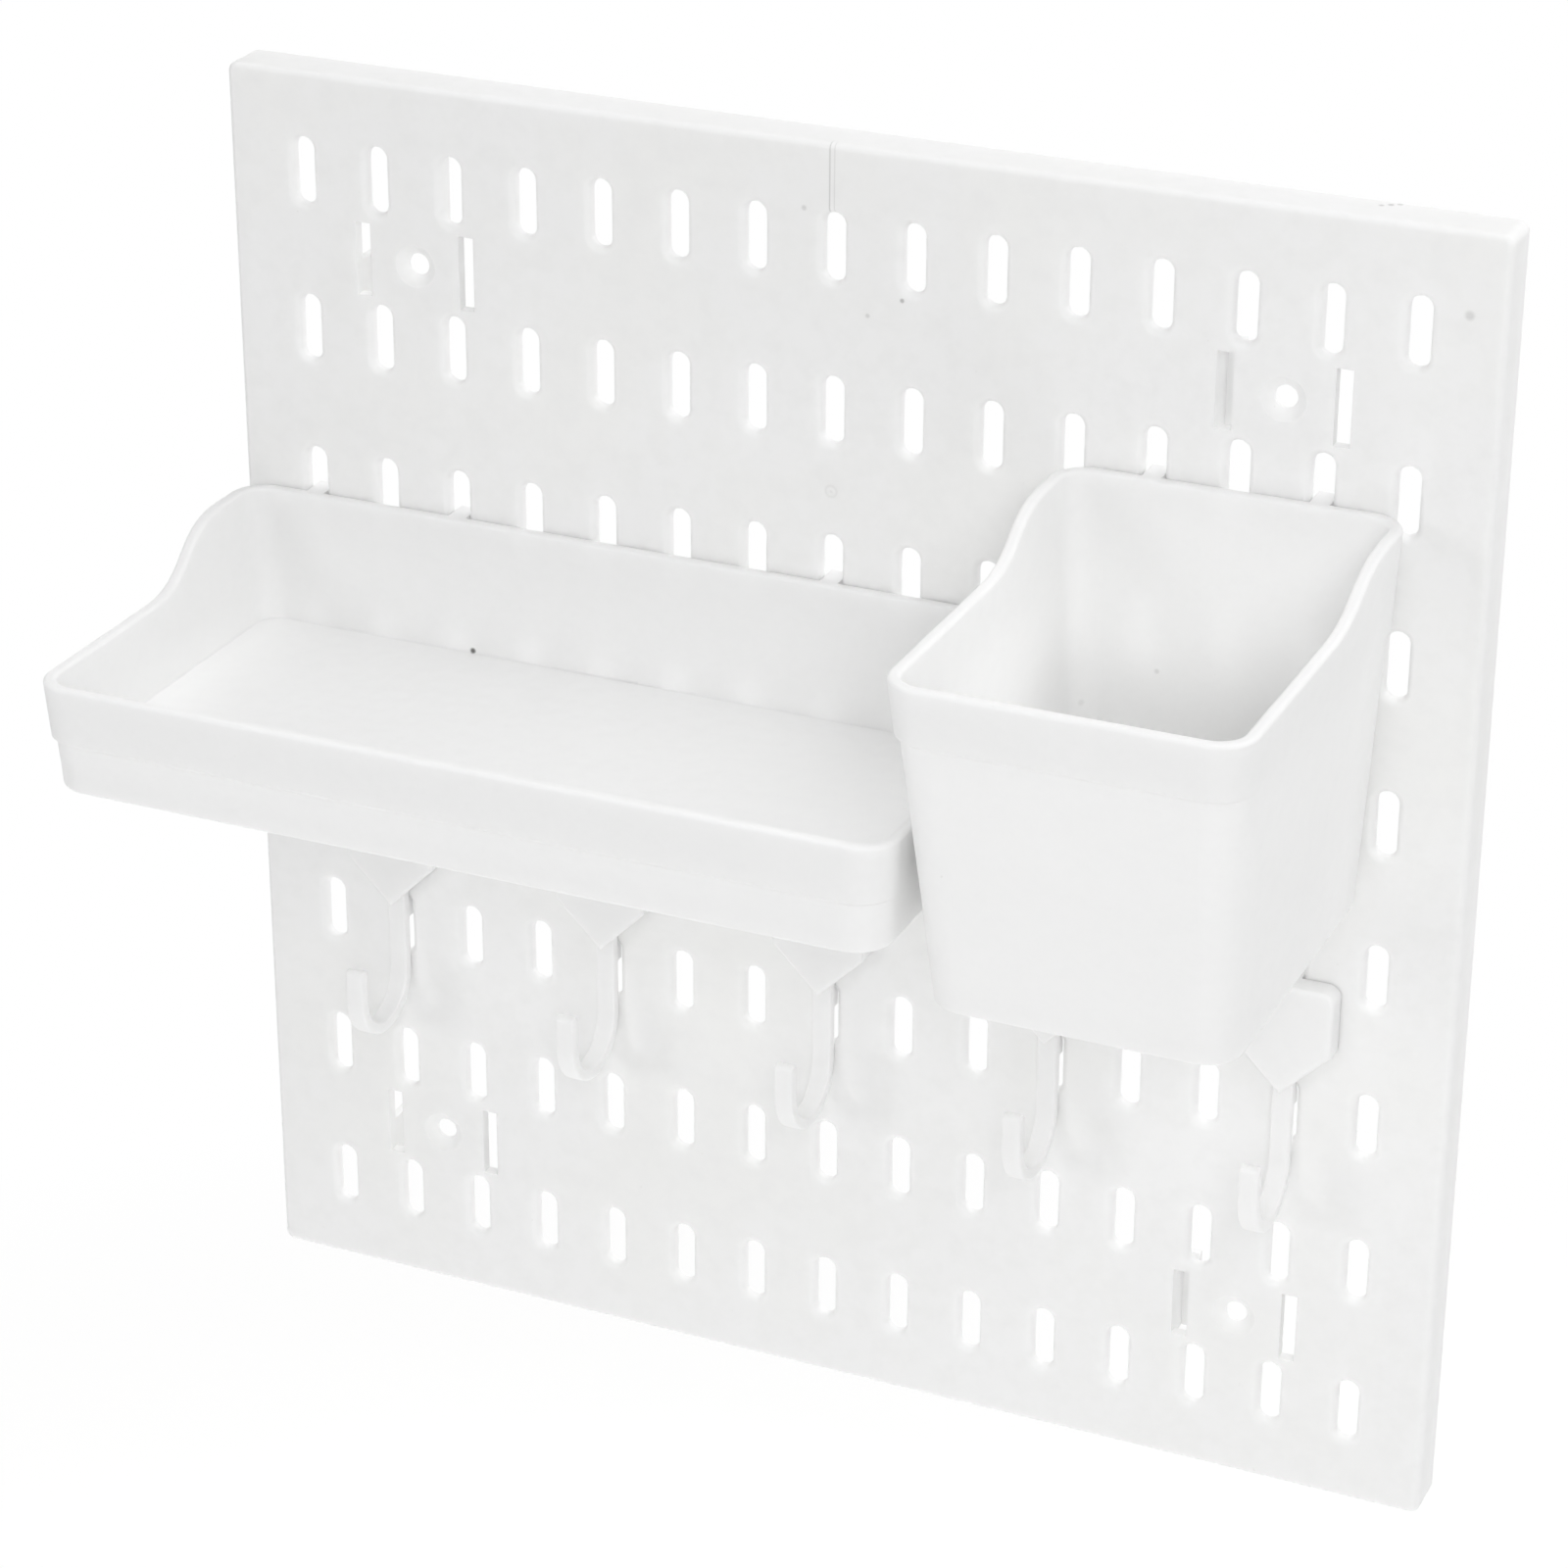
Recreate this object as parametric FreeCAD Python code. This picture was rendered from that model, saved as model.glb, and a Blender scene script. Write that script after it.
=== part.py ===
import FreeCAD, Part
import math
import os

# Pegboard with a wide tray, a deep cup and five J hooks.
# Millimetres. Z is up, X runs to the right seen from the front, Y runs into the wall.
# The origin is the middle of the four wall screw holes, on the back of the slotted plate.

# Slot grid
slot_columns = 15
slot_rows = 8
column_pitch = 20.0
row_pitch = 40.0
slot_width = 5.4
slot_height = 16.8
slot_edge_radius = 1.6

# Board
side_margin = 20.0
end_margin = 25.0
board_depth = 12.0
board_corner_radius = 2.5
board_edge_radius = 1.5
plate_thickness = 3.0
flange_thickness = 2.5

# Wall screws, each between two columns and two rows, with a strip window on both sides
screw_column = 2.5
screw_row = 1.5
screw_hole_diameter = 5.5
countersink_diameter = 10.8
countersink_depth = 2.2
window_offset = 14.0
window_width = 4.0
window_height = 18.5

# Low frame round each screw, and the rails that guide an adhesive strip behind the windows
frame_half_width = 7.2
frame_wall = 1.6
frame_depth = 2.5
frame_top = 30.0
short_frame_top = 9.0
frame_bottom = 9.0
rail_outer_offset = 18.5
rail_left_lip_offset = 12.5
rail_right_lip_offset = 14.5
rail_wall_thickness = 2.0
rail_lip_thickness = 2.0
rail_wall_gap = 0.5
rail_below_window = 3.0
short_rail_top = -1.5

# Claws that hang the pieces in the slots
side_clearance = 0.35
claw_seat_clearance = 0.35
face_clearance = 0.3
claw_plate_clearance = 0.4
claw_thickness = 3.0
claw_drop = 6.0
claw_nose_radius = 1.0
arm_top_above_slot_end = 5.4

# Bins share their wall build
bin_corner_radius = 9.0
bin_rim_thickness = 3.0
bin_wall_thickness = 2.2
bin_floor_thickness = 2.2
bin_floor_rise = 6.0
bin_inner_floor_radius = 0.5
band_below_front_rim = 14.3
band_slope_height = 0.9
band_step = 0.8
bin_rim_radius = 0.9
bin_foot_radius = 0.9

# Tray
tray_first_column = 1
tray_last_column = 10
tray_claw_columns = (1, 3, 8, 10)
tray_claw_row = 3
tray_side_overhang = 18.7
tray_side_draft = 2.4
tray_rim_reach = 104.2
tray_front_draft = 1.6
tray_front_rim_drop = 13.8
tray_height = 41.3

# Cup
cup_first_column = 12
cup_last_column = 14
cup_claw_columns = (12, 14)
cup_claw_row = 2
cup_side_overhang = 21.0
cup_side_draft = 5.1
cup_rim_reach = 112.4
cup_front_draft = 17.2
cup_front_rim_drop = 10.2
cup_height = 94.9

# Both side rims sweep down from the back to the front in the same S
sweep_start_reach = 17.0
sweep_end_reach = 54.0
sweep_fullness = 0.55

# Hooks
hook_columns = (2, 5, 8, 11, 14)
hook_row = 5
hook_plate_thickness = 6.0
hook_plate_half_width = 12.2
hook_top_above_slot_end = 5.1
hook_straight_height = 16.9
hook_point_height = 12.2
hook_corner_radius = 3.0
hook_edge_radius = 1.0
leg_width = 5.0
leg_thickness = 3.0
leg_edge_radius = 0.6
bend_outer_radius = 13.1
bend_below_row = 51.2
tip_above_bend = 9.2
hook_claw_rise = 7.0
arm_relief_degrees = 27.0
lug_depth = 1.7
lug_height = 5.5

# Overrun of cutting bodies and overlap of joined ones
over = 1.0
close = 0.01

plate_back_y = 0.0
board_front_y = plate_back_y - plate_thickness
wall_y = board_front_y + board_depth
board_half_width = (slot_columns - 1) / 2 * column_pitch + side_margin
board_half_height = (slot_rows - 1) / 2 * row_pitch + end_margin
slot_radius = slot_width / 2
slot_end = slot_height / 2
arm_width = slot_width - 2 * side_clearance
arm_radius = arm_width / 2
piece_back_y = board_front_y - face_clearance
claw_front_y = plate_back_y + claw_plate_clearance
claw_back_y = claw_front_y + claw_thickness


def vec(x, y, z):
    return FreeCAD.Vector(x, y, z)


def column_x(column):
    return (column - (slot_columns + 1) / 2) * column_pitch


def row_z(row):
    return ((slot_rows + 1) / 2 - row) * row_pitch


def box(x0, x1, y0, y1, z0, z1):
    return Part.makeBox(x1 - x0, y1 - y0, z1 - z0, vec(x0, y0, z0))


def stadium(width, height, y0, y1):
    """Upright slot shape about the Y axis, from y0 to y1."""
    radius = width / 2
    straight = height / 2 - radius
    left_low = vec(-radius, y0, -straight)
    left_high = vec(-radius, y0, straight)
    right_high = vec(radius, y0, straight)
    right_low = vec(radius, y0, -straight)
    edges = [
        Part.makeLine(left_low, left_high),
        Part.Arc(left_high, vec(0, y0, height / 2), right_high).toShape(),
        Part.makeLine(right_high, right_low),
        Part.Arc(right_low, vec(0, y0, -height / 2), left_low).toShape(),
    ]
    return Part.Face(Part.Wire(edges)).extrude(vec(0, y1 - y0, 0))


def prism_along_x(points, x0, x1):
    """Solid with the outline of (y, z) points, from x0 to x1."""
    outline = [vec(x0, y, z) for y, z in points]
    outline.append(outline[0])
    return Part.Face(Part.makePolygon(outline)).extrude(vec(x1 - x0, 0, 0))


def edges_where(shape, test):
    return [edge for edge in shape.Edges if test(edge.BoundBox)]


def flat_at_y(bounds, y):
    return abs(bounds.YMin - y) < close and abs(bounds.YMax - y) < close


def edges_at_height(shape, z):
    return [edge for edge in shape.Edges
            if all(abs(vertex.Z - z) < close for vertex in edge.Vertexes)]


def edges_above(shape, z):
    return [edge for edge in shape.Edges
            if all(vertex.Z > z - close for vertex in edge.Vertexes)]


def slot_cutter():
    """One slot with its rounded front edge, about the middle of the slot."""
    margin = slot_edge_radius + over
    blank = box(-slot_radius - margin, slot_radius + margin, board_front_y, plate_back_y,
                -slot_end - margin, slot_end + margin)
    through = stadium(slot_width, slot_height, board_front_y - over, plate_back_y + over)
    walls = blank.cut(through)
    front_edges = edges_where(
        walls,
        lambda b: flat_at_y(b, board_front_y)
        and b.XMax < slot_radius + close and b.XMin > -slot_radius - close)
    walls = walls.makeFillet(slot_edge_radius, front_edges)
    return blank.cut(walls).fuse(through).removeSplitter()


def screw_place(side, level):
    return side * abs(column_x(screw_column)), level * abs(row_z(screw_row))


def screw_frame(x, z, top):
    """Low rectangular frame on the back of the plate, round one screw hole."""
    outer = box(x - frame_half_width, x + frame_half_width, plate_back_y, plate_back_y + frame_depth,
                z - frame_bottom, z + top)
    inner_half = frame_half_width - frame_wall
    inner = box(x - inner_half, x + inner_half, plate_back_y - over, plate_back_y + frame_depth + over,
                z - frame_bottom + frame_wall, z + top - frame_wall)
    return outer.cut(inner)


def strip_rail(x, z, hand, lip_offset, top):
    """L-shaped rail behind one window: a wall outside it and a lip towards the screw."""
    far = x + hand * rail_outer_offset
    wall = far - hand * rail_wall_thickness
    lip = x + hand * lip_offset
    back = wall_y - rail_wall_gap
    low_z = z - window_height / 2 - rail_below_window
    return [box(min(far, wall), max(far, wall), plate_back_y, back, low_z, z + top),
            box(min(far, lip), max(far, lip), back - rail_lip_thickness, back, low_z, z + top)]


def screw_supports(side, level):
    """Frame and strip rails behind one screw hole."""
    x, z = screw_place(side, level)
    top = short_frame_top if side < 0 and level < 0 else frame_top
    left_rail_top = short_rail_top if side < 0 else window_height / 2
    solids = [screw_frame(x, z, top)]
    solids.extend(strip_rail(x, z, -1, rail_left_lip_offset, left_rail_top))
    solids.extend(strip_rail(x, z, 1, rail_right_lip_offset, window_height / 2))
    return solids


def screw_openings(side, level):
    """Countersunk hole with a window on each side."""
    x, z = screw_place(side, level)
    cuts = [
        Part.makeCylinder(screw_hole_diameter / 2, plate_thickness + 2 * over,
                          vec(x, board_front_y - over, z), vec(0, 1, 0)),
        Part.makeCone(countersink_diameter / 2, screw_hole_diameter / 2, countersink_depth,
                      vec(x, board_front_y, z), vec(0, 1, 0)),
    ]
    for hand in (-1, 1):
        middle = x + hand * window_offset
        cuts.append(box(middle - window_width / 2, middle + window_width / 2,
                        board_front_y - over, plate_back_y + close,
                        z - window_height / 2, z + window_height / 2))
    return cuts


def make_board():
    block = box(-board_half_width, board_half_width, board_front_y, wall_y,
                -board_half_height, board_half_height)
    corners = edges_where(block, lambda b: b.YMax - b.YMin > over)
    block = block.makeFillet(board_corner_radius, corners)
    front_rim = edges_where(block, lambda b: flat_at_y(b, board_front_y))
    block = block.makeFillet(board_edge_radius, front_rim)
    hollow = box(-board_half_width + flange_thickness, board_half_width - flange_thickness,
                 plate_back_y, wall_y + over,
                 -board_half_height + flange_thickness, board_half_height - flange_thickness)
    supports = []
    openings = []
    for column in range(1, slot_columns + 1):
        for row in range(1, slot_rows + 1):
            opening = slot_tool.copy()
            opening.translate(vec(column_x(column), 0, row_z(row)))
            openings.append(opening)
    for side in (-1, 1):
        for level in (-1, 1):
            supports.extend(screw_supports(side, level))
            openings.extend(screw_openings(side, level))
    board = block.cut(hollow).fuse(supports).cut(openings)
    return board.removeSplitter()


def rounded_outline(x, half_width, front_y, back_y, radius, z):
    """Rounded rectangle at height z, as one closed wire."""
    low_x = x - half_width
    high_x = x + half_width
    turn = radius * (1 - math.sqrt(0.5))
    corners = [
        (vec(low_x + radius, front_y, z), vec(low_x + turn, front_y + turn, z),
         vec(low_x, front_y + radius, z)),
        (vec(low_x, back_y - radius, z), vec(low_x + turn, back_y - turn, z),
         vec(low_x + radius, back_y, z)),
        (vec(high_x - radius, back_y, z), vec(high_x - turn, back_y - turn, z),
         vec(high_x, back_y - radius, z)),
        (vec(high_x, front_y + radius, z), vec(high_x - turn, front_y + turn, z),
         vec(high_x - radius, front_y, z)),
    ]
    edges = []
    for number, (start, middle, end) in enumerate(corners):
        edges.append(Part.Arc(start, middle, end).toShape())
        edges.append(Part.makeLine(end, corners[(number + 1) % len(corners)][0]))
    return Part.Wire(edges)


def bin_block(x, sections):
    """Tapering body through (height, half width, reach, inset) sections."""
    wires = []
    for z, half_width, reach, inset in sections:
        wires.append(rounded_outline(x, half_width - inset, board_front_y - reach + inset,
                                     piece_back_y - inset, bin_corner_radius - inset, z))
    return Part.makeLoft(wires, True, True)


def rim_cutter(x, half_width, reach, back_z, front_z):
    """Everything above the side rims, which sweep down from back to front."""
    start = vec(x, board_front_y - sweep_start_reach, back_z)
    end = vec(x, board_front_y - sweep_end_reach, front_z)
    pull = (sweep_end_reach - sweep_start_reach) * sweep_fullness
    curve = Part.BezierCurve()
    curve.setPoles([start, vec(x, start.y - pull, back_z), vec(x, end.y + pull, front_z), end])
    spare = bin_corner_radius
    roof = back_z + spare
    behind = vec(x, board_front_y + spare, back_z)
    front = vec(x, board_front_y - reach - spare, front_z)
    edges = [
        Part.makeLine(behind, start),
        curve.toShape(),
        Part.makeLine(end, front),
        Part.makeLine(front, vec(x, front.y, roof)),
        Part.makeLine(vec(x, front.y, roof), vec(x, behind.y, roof)),
        Part.makeLine(vec(x, behind.y, roof), behind),
    ]
    face = Part.Face(Part.Wire(edges))
    face.translate(vec(-half_width - spare, 0, 0))
    return face.extrude(vec(2 * (half_width + spare), 0, 0))


def slot_arm(low_z, top_z, front_y):
    """Arm that runs back through a slot, flat on top and round below like the slot's end."""
    arm = stadium(arm_width, 2 * (top_z - low_z), front_y, claw_back_y)
    arm.translate(vec(0, 0, top_z))
    return arm.common(box(-arm_width, arm_width, front_y, claw_back_y, low_z - over, top_z))


def nosed_claw(low_z, high_z, nose_z):
    """Claw behind the plate, with its free end at nose_z rounded."""
    claw = box(-arm_radius, arm_radius, claw_front_y, claw_back_y, low_z, high_z)
    nose = edges_where(claw, lambda b: b.XMax - b.XMin > over
                       and abs(b.ZMax - nose_z) < close and abs(b.ZMin - nose_z) < close)
    return claw.makeFillet(claw_nose_radius, nose)


def hanging_claw(column, row):
    """Arm through a slot with the claw turned down behind the plate."""
    slot_low = row_z(row) - slot_end
    top_z = slot_low + arm_top_above_slot_end
    arm = slot_arm(slot_low + claw_seat_clearance, top_z, piece_back_y - bin_wall_thickness / 2)
    arm = arm.fuse(nosed_claw(slot_low - claw_drop, top_z, slot_low - claw_drop))
    arm.translate(vec(column_x(column), 0, 0))
    return arm


def make_bin(first, last, claw_columns, claw_row, side_overhang, side_draft, rim_reach,
             front_draft, front_rim_drop, height):
    """Open bin with tapering walls, a stepped band, a swept rim, a raised floor and claws."""
    x = (column_x(first) + column_x(last)) / 2
    back_z = row_z(claw_row) - slot_end + arm_top_above_slot_end
    front_rim_z = back_z - front_rim_drop
    bottom_z = back_z - height
    rim_half_width = (column_x(last) - column_x(first)) / 2 + side_overhang
    band_z = front_rim_z - band_below_front_rim
    slope_z = band_z - band_slope_height
    floor_z = bottom_z + bin_floor_rise
    open_z = back_z + 2 * over

    def section(z, step, inset):
        side = side_draft * (back_z - z) / height
        front = front_draft * (front_rim_z - z) / (front_rim_z - bottom_z)
        return z, rim_half_width - side + step, rim_reach - front + step, inset

    body = bin_block(x, [section(bottom_z, 0, 0), section(slope_z, 0, 0),
                         section(band_z, band_step, 0), section(open_z, band_step, 0)])
    body = body.makeFillet(bin_foot_radius, edges_at_height(body, bottom_z))
    cavity = bin_block(x, [section(floor_z, 0, bin_wall_thickness),
                           section(open_z + over, band_step, bin_rim_thickness)])
    cavity = cavity.makeFillet(bin_inner_floor_radius, edges_at_height(cavity, floor_z))
    recess = bin_block(x, [section(bottom_z - over, 0, bin_wall_thickness),
                           section(floor_z - bin_floor_thickness, 0, bin_wall_thickness)])
    shell = body.cut(cavity).cut(recess)
    shell = shell.cut(rim_cutter(x, rim_half_width, rim_reach, back_z, front_rim_z))
    shell = shell.makeFillet(bin_rim_radius, edges_above(shell, front_rim_z))
    for column in claw_columns:
        shell = shell.fuse(hanging_claw(column, claw_row))
    return shell.removeSplitter()


def make_tray():
    return make_bin(tray_first_column, tray_last_column, tray_claw_columns, tray_claw_row,
                    tray_side_overhang, tray_side_draft, tray_rim_reach, tray_front_draft,
                    tray_front_rim_drop, tray_height)


def make_cup():
    return make_bin(cup_first_column, cup_last_column, cup_claw_columns, cup_claw_row,
                    cup_side_overhang, cup_side_draft, cup_rim_reach, cup_front_draft,
                    cup_front_rim_drop, cup_height)


def hook_plate(top_z, front_y):
    """Flat plate with straight sides above a point, rounded at the top corners and in front."""
    half = hook_plate_half_width
    shoulder_z = top_z - hook_straight_height
    point_z = shoulder_z - hook_point_height
    outline = [vec(-half, front_y, top_z), vec(half, front_y, top_z), vec(half, front_y, shoulder_z),
               vec(0, front_y, point_z), vec(-half, front_y, shoulder_z), vec(-half, front_y, top_z)]
    plate = Part.Face(Part.makePolygon(outline)).extrude(vec(0, hook_plate_thickness, 0))
    top_corners = edges_where(
        plate, lambda b: b.YMax - b.YMin > over and b.ZMin > top_z - close)
    plate = plate.makeFillet(hook_corner_radius, top_corners)
    return plate.makeFillet(hook_edge_radius, edges_where(plate, lambda b: flat_at_y(b, front_y)))


def hook_leg(start_z, bend_z, back_y):
    """Leg that runs down from the plate, turns forward in a half circle and ends in a tip."""
    half = leg_width / 2
    bend_y = back_y - bend_outer_radius
    across = 2 * bend_outer_radius
    leg = box(-half, half, back_y - leg_thickness, back_y, bend_z, start_z)
    ring = Part.makeCylinder(bend_outer_radius, leg_width, vec(-half, bend_y, bend_z), vec(1, 0, 0))
    bore = Part.makeCylinder(bend_outer_radius - leg_thickness, leg_width + 2 * over,
                             vec(-half - over, bend_y, bend_z), vec(1, 0, 0))
    lower = box(-leg_width, leg_width, bend_y - across, bend_y + across, bend_z - across, bend_z)
    tip_front_y = bend_y - bend_outer_radius
    cap_z = bend_z + tip_above_bend - leg_thickness / 2
    tip = box(-half, half, tip_front_y, tip_front_y + leg_thickness, bend_z, cap_z)
    cap = Part.makeCylinder(leg_thickness / 2, leg_width,
                            vec(-half, tip_front_y + leg_thickness / 2, cap_z), vec(1, 0, 0))
    leg = leg.fuse([ring.cut(bore).common(lower), tip, cap]).removeSplitter()
    side_edges = edges_where(leg, lambda b: b.XMax - b.XMin < close and b.ZMin < start_z - over)
    return leg.makeFillet(leg_edge_radius, side_edges)


def make_hook(column):
    """J hook: pointed plate, bent leg, claw in one slot and lug in the slot below."""
    slot_low = row_z(hook_row) - slot_end
    top_z = slot_low + hook_top_above_slot_end
    low_z = slot_low + claw_seat_clearance
    plate = hook_plate(top_z, piece_back_y - hook_plate_thickness)
    leg = hook_leg(top_z - hook_straight_height, row_z(hook_row) - bend_below_row, piece_back_y)

    root_y = piece_back_y - leg_thickness / 2
    run = claw_back_y + over - piece_back_y
    rise = run * math.tan(math.radians(arm_relief_degrees))
    relief = prism_along_x([(piece_back_y, low_z), (piece_back_y + run, low_z + rise),
                            (piece_back_y + run, low_z - over), (piece_back_y, low_z - over)],
                           -arm_width, arm_width)
    claw_top = top_z + hook_claw_rise
    claw = nosed_claw(top_z - over, claw_top, claw_top)
    arm = slot_arm(low_z, top_z, root_y).fuse(claw).cut(relief)

    lug_top = row_z(hook_row + 1) + slot_end - claw_seat_clearance
    lug_low = lug_top - lug_height
    lug_back_y = board_front_y + lug_depth
    lug = stadium(arm_width, 2 * lug_height, root_y, lug_back_y)
    lug.translate(vec(0, 0, lug_low))
    lug = lug.common(box(-arm_width, arm_width, root_y, lug_back_y, lug_low, lug_top + over))

    hook = plate.fuse([leg, arm, lug]).removeSplitter()
    hook.translate(vec(column_x(column), 0, 0))
    return hook


slot_tool = slot_cutter()
os.makedirs("parts", exist_ok=True)
pieces = {"board": make_board(), "tray": make_tray(), "cup": make_cup()}
for number, column in enumerate(hook_columns, start=1):
    pieces["hook_" + str(number)] = make_hook(column)
for name, shape in pieces.items():
    shape.exportStep("parts/" + name + ".step")
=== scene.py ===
import bpy
import math
from mathutils import Matrix, Vector

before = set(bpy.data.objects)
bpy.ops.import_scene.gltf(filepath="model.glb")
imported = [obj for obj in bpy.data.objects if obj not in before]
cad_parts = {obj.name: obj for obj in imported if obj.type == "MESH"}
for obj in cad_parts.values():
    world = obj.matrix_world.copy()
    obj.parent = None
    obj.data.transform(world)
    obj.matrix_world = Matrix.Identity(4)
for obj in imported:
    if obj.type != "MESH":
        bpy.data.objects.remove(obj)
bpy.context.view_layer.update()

# Camera, fitted to the slot grid and the outline of the board
LENS_MM = 103.34
SENSOR_MM = 36.0
EYE = (0.39280, -0.91389, 0.47217)
CAMERA_RIGHT = (0.913158, 0.407588, 0.003715)
CAMERA_DOWN = (0.177265, -0.388903, -0.904064)
CAMERA_AHEAD = (-0.367041, 0.826212, -0.427381)

# Strength of the surroundings' light on the part; rays that are seen get plain white instead
AMBIENT = 0.30

# Soft lamps: place, aim, width, height and watts. The last one is a faint fill low in the cup,
# which lights the upper part of its walls from below.
MIDDLE = (0.0, 0.0, 0.0)
LAMPS = (
    ("top", (0.2, 0.5, 2.0), MIDDLE, 1.2, 1.2, 15.0),
    ("over_bins", (0.22, -0.45, 1.5), (0.0, -0.05, 0.05), 0.5, 0.5, 1.1),
    ("front", (0.86, -2.0, 1.03), MIDDLE, 0.9, 0.9, 11.0),
    ("front_left", (-1.0, -1.8, 0.5), MIDDLE, 0.6, 0.6, 4.8),
    ("front_low", (0.1, -1.5, -0.42), MIDDLE, 2.0, 0.5, 2.1),
    ("below", (0.0, -0.22, -0.46), (0.0, -0.2, 0.0), 0.7, 0.7, 0.5),
    ("near_right", (0.8, -0.7, 0.9), MIDDLE, 0.6, 0.6, 2.7),
    ("left", (-2.2, -0.5, 0.4), MIDDLE, 1.2, 1.2, 3.8),
    ("right", (2.2, -0.5, 0.4), MIDDLE, 1.2, 1.2, 2.4),
    ("back", (0.0, 1.8, 0.4), MIDDLE, 2.0, 1.2, 3.5),
    ("back_right", (1.7, 0.9, 0.4), MIDDLE, 1.2, 1.2, 6.8),
    ("behind_board", (0.0, 0.45, 0.0), MIDDLE, 0.5, 0.5, 0.9),
    ("cup_fill", (0.100, -0.062, 0.040), (0.100, -0.0621, 0.100), 0.045, 0.045, 0.0085),
)

# Floor: a pale square well below the part. It takes the soft shadow right under the part
# and fades out to the white surroundings between the two distances from the middle.
FLOOR_LEVEL = -0.50
FLOOR_REACH = 3.0
FLOOR_COLOUR = (0.88, 0.88, 0.875, 1.0)
FLOOR_FADE = (0.30, 0.75)
FLOOR_LIFT = 0.30

# Plastic: noise scales per metre, relief depths in metres and optical values
CLOUD_SCALE, MOTTLE_SCALE, FLECK_SCALE, WAVE_SCALE = 14.0, 190.0, 420.0, 22.0
SPARK_DEPTH, MOTTLE_DEPTH, WAVE_DEPTH, MARK_DEPTH = 0.00004, 0.00005, 0.00022, 0.00015
DULL_SHARE = (0.975, 0.975, 0.968)
DEEP_SHARE = 0.95
FLECK_COLOUR = (0.62, 0.61, 0.59, 1.0)
IOR = 1.49
SCATTER_LENGTH = 0.0016

# Small marks of moulding and handling, in metres: centre, radius and darkness
BOARD_SPOTS = (
    ((-0.0074, -0.003, 0.1488), 0.0007, 0.22),
    ((0.0088, -0.003, 0.1249), 0.0006, 0.22),
    ((0.0174, -0.003, 0.1298), 0.0006, 0.45),
    ((0.1512, -0.003, 0.1458), 0.0012, 0.20),
    ((0.1272, 0.0060, 0.165), 0.0007, 0.30),
    ((0.1290, 0.0072, 0.165), 0.0008, 0.35),
    ((0.1308, 0.0083, 0.165), 0.0008, 0.30),
)
BIN_SPOTS = (
    ((-0.0957, -0.0055, 0.0224), 0.0008, 0.95),
    ((0.0662, -0.0077, 0.0394), 0.0009, 0.12),
    ((0.0839, -0.0059, 0.0499), 0.0007, 0.20),
)
SPOT_COLOUR = (0.16, 0.155, 0.15, 1.0)
# Soft edges of marks: shares of the radius or half width where they are full and gone
SPOT_EDGE = (0.5, 1.2)
LINE_EDGE = (0.5, 1.4)

# Weld lines on the board's front, from its top edge down to the middle slot: place in x,
# half width and darkness. They fade in over WELD_FOOT in z and out over WELD_BACK in y.
WELD_LINES = ((-0.0010, 0.00017, 0.28), (0.0002, 0.00015, 0.14))
WELD_FOOT = (0.1482, 0.1488)
WELD_BACK = (-0.0026, -0.0004)

# Injection point on the board's front: a ring and a dot, from full to nothing
GATE_PLACE = (0.0, -0.003, 0.0798)
GATE_RADIUS = 0.0014
GATE_RING = (0.00012, 0.00045)
GATE_DOT = (0.0001, 0.0005)
GATE_DARKNESS = 0.07


def socket(node, name, value):
    node.inputs[name].default_value = value


class Shader:
    """A material under construction, with small helpers for its nodes."""

    def __init__(self, name):
        self.material = bpy.data.materials.new(name)
        self.material.use_nodes = True
        self.tree = self.material.node_tree
        self.tree.nodes.clear()
        self.output = self.tree.nodes.new("ShaderNodeOutputMaterial")
        self.surface = self.tree.nodes.new("ShaderNodeBsdfPrincipled")
        self.link(self.surface.outputs["BSDF"], self.output.inputs["Surface"])

    def link(self, source, target):
        self.tree.links.new(source, target)

    def node(self, kind, **settings):
        made = self.tree.nodes.new(kind)
        for key, value in settings.items():
            setattr(made, key, value)
        return made

    def noise(self, vector, scale, detail=3.0, roughness=0.5):
        made = self.node("ShaderNodeTexNoise")
        socket(made, "Scale", scale)
        socket(made, "Detail", detail)
        socket(made, "Roughness", roughness)
        self.link(vector, made.inputs["Vector"])
        return made.outputs["Fac"]

    def remap(self, value, low, high, to_low, to_high):
        made = self.node("ShaderNodeMapRange")
        made.clamp = True
        self.link(value, made.inputs["Value"])
        socket(made, "From Min", low)
        socket(made, "From Max", high)
        socket(made, "To Min", to_low)
        socket(made, "To Max", to_high)
        return made.outputs["Result"]

    def maths(self, operation, a, b):
        made = self.node("ShaderNodeMath", operation=operation)
        for number, value in enumerate((a, b)):
            if isinstance(value, (int, float)):
                made.inputs[number].default_value = value
            else:
                self.link(value, made.inputs[number])
        return made.outputs["Value"]

    def blend(self, factor, a, b):
        made = self.node("ShaderNodeMix", data_type="RGBA")
        self.link(factor, made.inputs["Factor"])
        for name, value in (("A", a), ("B", b)):
            target = [i for i in made.inputs if i.name == name and i.type == "RGBA"][0]
            if isinstance(value, tuple):
                target.default_value = value
            else:
                self.link(value, target)
        return [o for o in made.outputs if o.type == "RGBA"][0]

    def bump(self, height, distance, strength, normal=None):
        made = self.node("ShaderNodeBump")
        socket(made, "Distance", distance)
        socket(made, "Strength", strength)
        self.link(height, made.inputs["Height"])
        if normal is not None:
            self.link(normal, made.inputs["Normal"])
        return made.outputs["Normal"]


def distance(shader, place, centre):
    """Distance of each shaded point from a fixed one."""
    made = shader.node("ShaderNodeVectorMath", operation="DISTANCE")
    shader.link(place, made.inputs[0])
    made.inputs[1].default_value = centre
    return made.outputs["Value"]


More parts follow.
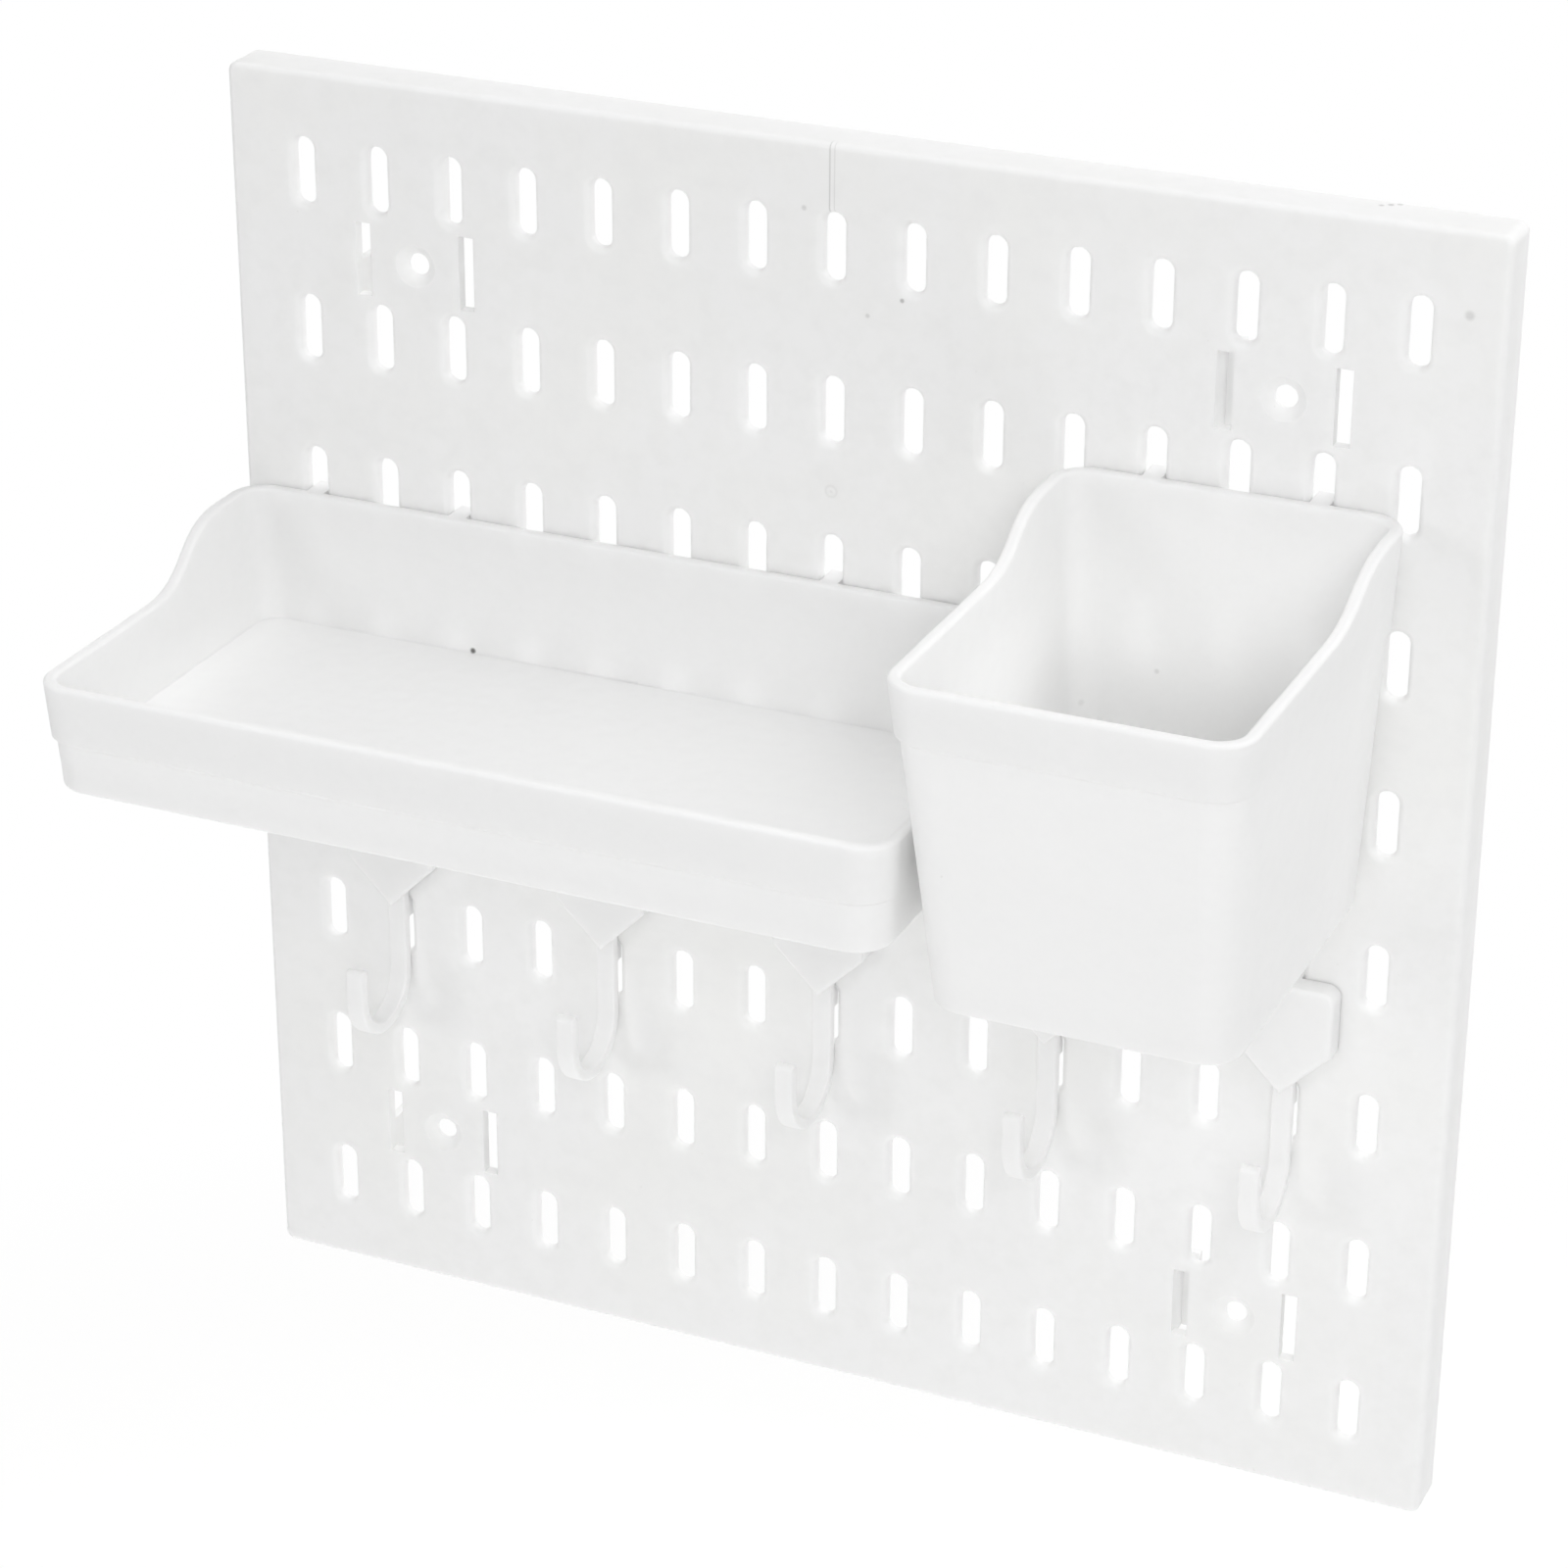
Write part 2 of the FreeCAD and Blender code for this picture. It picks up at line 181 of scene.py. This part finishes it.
def weld_mask(shader, place):
    """Darkness of the weld lines, 0 elsewhere."""
    parts = shader.node("ShaderNodeSeparateXYZ")
    shader.link(place, parts.inputs[0])
    total = 0.0
    for x, half_width, darkness in WELD_LINES:
        away = shader.maths("ABSOLUTE", shader.maths("SUBTRACT", parts.outputs["X"], x), 0.0)
        full, nothing = (half_width * share for share in LINE_EDGE)
        total = shader.maths("MAXIMUM", total, shader.remap(away, full, nothing, darkness, 0.0))
    above = shader.remap(parts.outputs["Z"], *WELD_FOOT, 0.0, 1.0)
    front = shader.remap(parts.outputs["Y"], *WELD_BACK, 1.0, 0.0)
    return shader.maths("MULTIPLY", shader.maths("MULTIPLY", total, above), front)


def gate_mask(shader, place):
    """1 on the ring and dot of the injection point, 0 elsewhere."""
    away = distance(shader, place, GATE_PLACE)
    rim = shader.maths("ABSOLUTE", shader.maths("SUBTRACT", away, GATE_RADIUS), 0.0)
    ring = shader.remap(rim, *GATE_RING, 1.0, 0.0)
    dot = shader.remap(away, *GATE_DOT, 1.0, 0.0)
    return shader.maths("MAXIMUM", ring, dot)


def plain_tone(shader, white, cloud, mottle, fleck):
    """White that turns a little dull, deep and dusty in places."""
    light = white + (1.0,)
    dull = tuple(c * share for c, share in zip(white, DULL_SHARE)) + (1.0,)
    deep = tuple(c * DEEP_SHARE for c in white) + (1.0,)
    tone = shader.blend(shader.remap(cloud, 0.35, 0.7, 0.0, 1.0), light, dull)
    tone = shader.blend(shader.remap(mottle, 0.42, 0.70, 0.0, 0.55), tone, deep)
    return shader.blend(shader.remap(fleck, 0.76, 0.84, 0.0, 0.30), tone, FLECK_COLOUR)


def plain_relief(shader, spark, mottle, wave):
    """Fine spark texture over a soft waviness."""
    normal = shader.bump(spark, SPARK_DEPTH, 0.55)
    normal = shader.bump(mottle, MOTTLE_DEPTH, 0.35, normal)
    return shader.bump(wave, WAVE_DEPTH, 0.35, normal)


def moulding_marks(shader, place, tone, normal):
    """Adds the weld lines and the injection point to a tone and a normal."""
    weld = weld_mask(shader, place)
    gate = gate_mask(shader, place)
    tone = shader.blend(weld, tone, SPOT_COLOUR)
    tone = shader.blend(shader.maths("MULTIPLY", gate, GATE_DARKNESS), tone, SPOT_COLOUR)
    dent = shader.maths("SUBTRACT", 1.0, shader.maths("MAXIMUM", weld, gate))
    return tone, shader.bump(dent, MARK_DEPTH, 0.6, normal)


def moulded_plastic(name, white, grain, gloss, spots=(), marked=False):
    """White moulded plastic with fine texture, faint mottling, dust and its own small marks."""
    shader = Shader(name)
    place = shader.node("ShaderNodeTexCoord").outputs["Object"]
    cloud = shader.noise(place, CLOUD_SCALE, 4.0, 0.55)
    mottle = shader.noise(place, MOTTLE_SCALE, 3.0, 0.55)
    fleck = shader.noise(place, FLECK_SCALE, 2.0, 0.6)
    spark = shader.noise(place, grain, 2.0, 0.7)
    wave = shader.noise(place, WAVE_SCALE, 2.0, 0.4)
    tone = plain_tone(shader, white, cloud, mottle, fleck)
    for centre, radius, darkness in spots:
        full, nothing = (radius * share for share in SPOT_EDGE)
        spot = shader.remap(distance(shader, place, centre), full, nothing, darkness, 0.0)
        tone = shader.blend(spot, tone, SPOT_COLOUR)
    normal = plain_relief(shader, spark, mottle, wave)
    if marked:
        tone, normal = moulding_marks(shader, place, tone, normal)
    rough = shader.maths("ADD", shader.remap(cloud, 0.3, 0.7, gloss - 0.05, gloss + 0.06),
                    shader.remap(spark, 0.3, 0.7, -0.03, 0.03))
    shader.link(tone, shader.surface.inputs["Base Color"])
    shader.link(rough, shader.surface.inputs["Roughness"])
    shader.link(normal, shader.surface.inputs["Normal"])
    socket(shader.surface, "IOR", IOR)
    socket(shader.surface, "Subsurface Weight", 1.0)
    socket(shader.surface, "Subsurface Radius", (1.0, 1.0, 1.0))
    socket(shader.surface, "Subsurface Scale", SCATTER_LENGTH)
    return shader.material


def dress(node, material):
    """Puts one material on a CAD node."""
    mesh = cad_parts[node].data
    mesh.materials.clear()
    mesh.materials.append(material)
    for polygon in mesh.polygons:
        polygon.material_index = 0


def floor_material():
    """Diffuse near the part, with a lift for seen rays alone, and white farther away."""
    shader = Shader("floor_white")
    socket(shader.surface, "Base Color", FLOOR_COLOUR)
    socket(shader.surface, "Roughness", 0.9)
    place = shader.node("ShaderNodeTexCoord").outputs["Object"]
    reach = shader.node("ShaderNodeVectorMath", operation="LENGTH")
    shader.link(place, reach.inputs[0])
    far = shader.remap(reach.outputs["Value"], *FLOOR_FADE, 0.0, 1.0)
    paths = shader.node("ShaderNodeLightPath")
    seen = shader.maths("MAXIMUM", paths.outputs["Is Camera Ray"], paths.outputs["Is Glossy Ray"])
    seen = shader.maths("MAXIMUM", seen, paths.outputs["Is Transmission Ray"])
    lift = shader.node("ShaderNodeEmission")
    shader.link(shader.maths("MULTIPLY", seen, FLOOR_LIFT), lift.inputs["Strength"])
    lit = shader.node("ShaderNodeAddShader")
    shader.link(shader.surface.outputs["BSDF"], lit.inputs[0])
    shader.link(lift.outputs["Emission"], lit.inputs[1])
    white = shader.node("ShaderNodeEmission")
    pick = shader.node("ShaderNodeMixShader")
    shader.link(shader.maths("MULTIPLY", seen, far), pick.inputs[0])
    shader.link(lit.outputs["Shader"], pick.inputs[1])
    shader.link(white.outputs["Emission"], pick.inputs[2])
    shader.link(pick.outputs["Shader"], shader.output.inputs["Surface"])
    return shader.material


def make_floor():
    """Floor that belongs to the stage, not to the part."""
    mesh = bpy.data.meshes.new("floor")
    corners = [(x * FLOOR_REACH, y * FLOOR_REACH, 0.0)
               for x, y in ((-1, -1), (1, -1), (1, 1), (-1, 1))]
    mesh.from_pydata(corners, [], [(0, 1, 2, 3)])
    floor = bpy.data.objects.new("floor", mesh)
    floor.location = (0.0, 0.0, FLOOR_LEVEL)
    bpy.context.scene.collection.objects.link(floor)
    mesh.materials.append(floor_material())


def white_background(nodes, strength):
    background = nodes.new("ShaderNodeBackground")
    socket(background, "Color", (1.0, 1.0, 1.0, 1.0))
    socket(background, "Strength", strength)
    return background.outputs["Background"]


def make_world():
    """White for seen rays, and a dimmer white that lights the part."""
    world = bpy.data.worlds.new("studio")
    bpy.context.scene.world = world
    world.use_nodes = True
    nodes, links = world.node_tree.nodes, world.node_tree.links
    nodes.clear()
    out = nodes.new("ShaderNodeOutputWorld")
    ambient = white_background(nodes, AMBIENT)
    white = white_background(nodes, 1.0)
    pick = nodes.new("ShaderNodeMixShader")
    path = nodes.new("ShaderNodeLightPath")
    seen = path.outputs["Is Camera Ray"]
    for ray in ("Is Glossy Ray", "Is Transmission Ray"):
        either = nodes.new("ShaderNodeMath")
        either.operation = "MAXIMUM"
        links.new(seen, either.inputs[0])
        links.new(path.outputs[ray], either.inputs[1])
        seen = either.outputs["Value"]
    links.new(seen, pick.inputs[0])
    links.new(ambient, pick.inputs[1])
    links.new(white, pick.inputs[2])
    links.new(pick.outputs[0], out.inputs["Surface"])


def area_light(name, place, aim, width, height, power):
    """Soft lamp that lights the part but isn't seen or mirrored."""
    data = bpy.data.lights.new(name, "AREA")
    data.shape = "RECTANGLE"
    data.size, data.size_y = width, height
    data.energy = power
    lamp = bpy.data.objects.new(name, data)
    bpy.context.scene.collection.objects.link(lamp)
    lamp.location = place
    lamp.visible_glossy = False
    lamp.visible_camera = False
    lamp.rotation_mode = "QUATERNION"
    lamp.rotation_quaternion = (Vector(aim) - Vector(place)).to_track_quat("-Z", "Y")


def make_camera():
    data = bpy.data.cameras.new("camera")
    data.sensor_width = SENSOR_MM
    data.lens = LENS_MM
    data.clip_start = 0.05
    data.clip_end = 50.0
    camera = bpy.data.objects.new("camera", data)
    bpy.context.scene.collection.objects.link(camera)
    right, down, ahead = Vector(CAMERA_RIGHT), Vector(CAMERA_DOWN), Vector(CAMERA_AHEAD)
    turn = Matrix((right, -down, -ahead)).transposed().to_4x4()
    camera.matrix_world = Matrix.Translation(Vector(EYE)) @ turn
    bpy.context.scene.camera = camera


board_plastic = moulded_plastic("board_plastic", (0.935, 0.935, 0.933), 2600.0, 0.46,
                                BOARD_SPOTS, marked=True)
bin_plastic = moulded_plastic("bin_plastic", (0.98, 0.98, 0.978), 3200.0, 0.42, BIN_SPOTS)
hook_plastic = moulded_plastic("hook_plastic", (0.965, 0.965, 0.963), 3200.0, 0.44)

dress("board", board_plastic)
dress("tray", bin_plastic)
dress("cup", bin_plastic)
for number in range(1, 6):
    dress("hook_" + str(number), hook_plastic)

make_floor()
make_world()
for lamp_row in LAMPS:
    area_light(*lamp_row)
make_camera()
bpy.context.scene.view_settings.view_transform = "Standard"
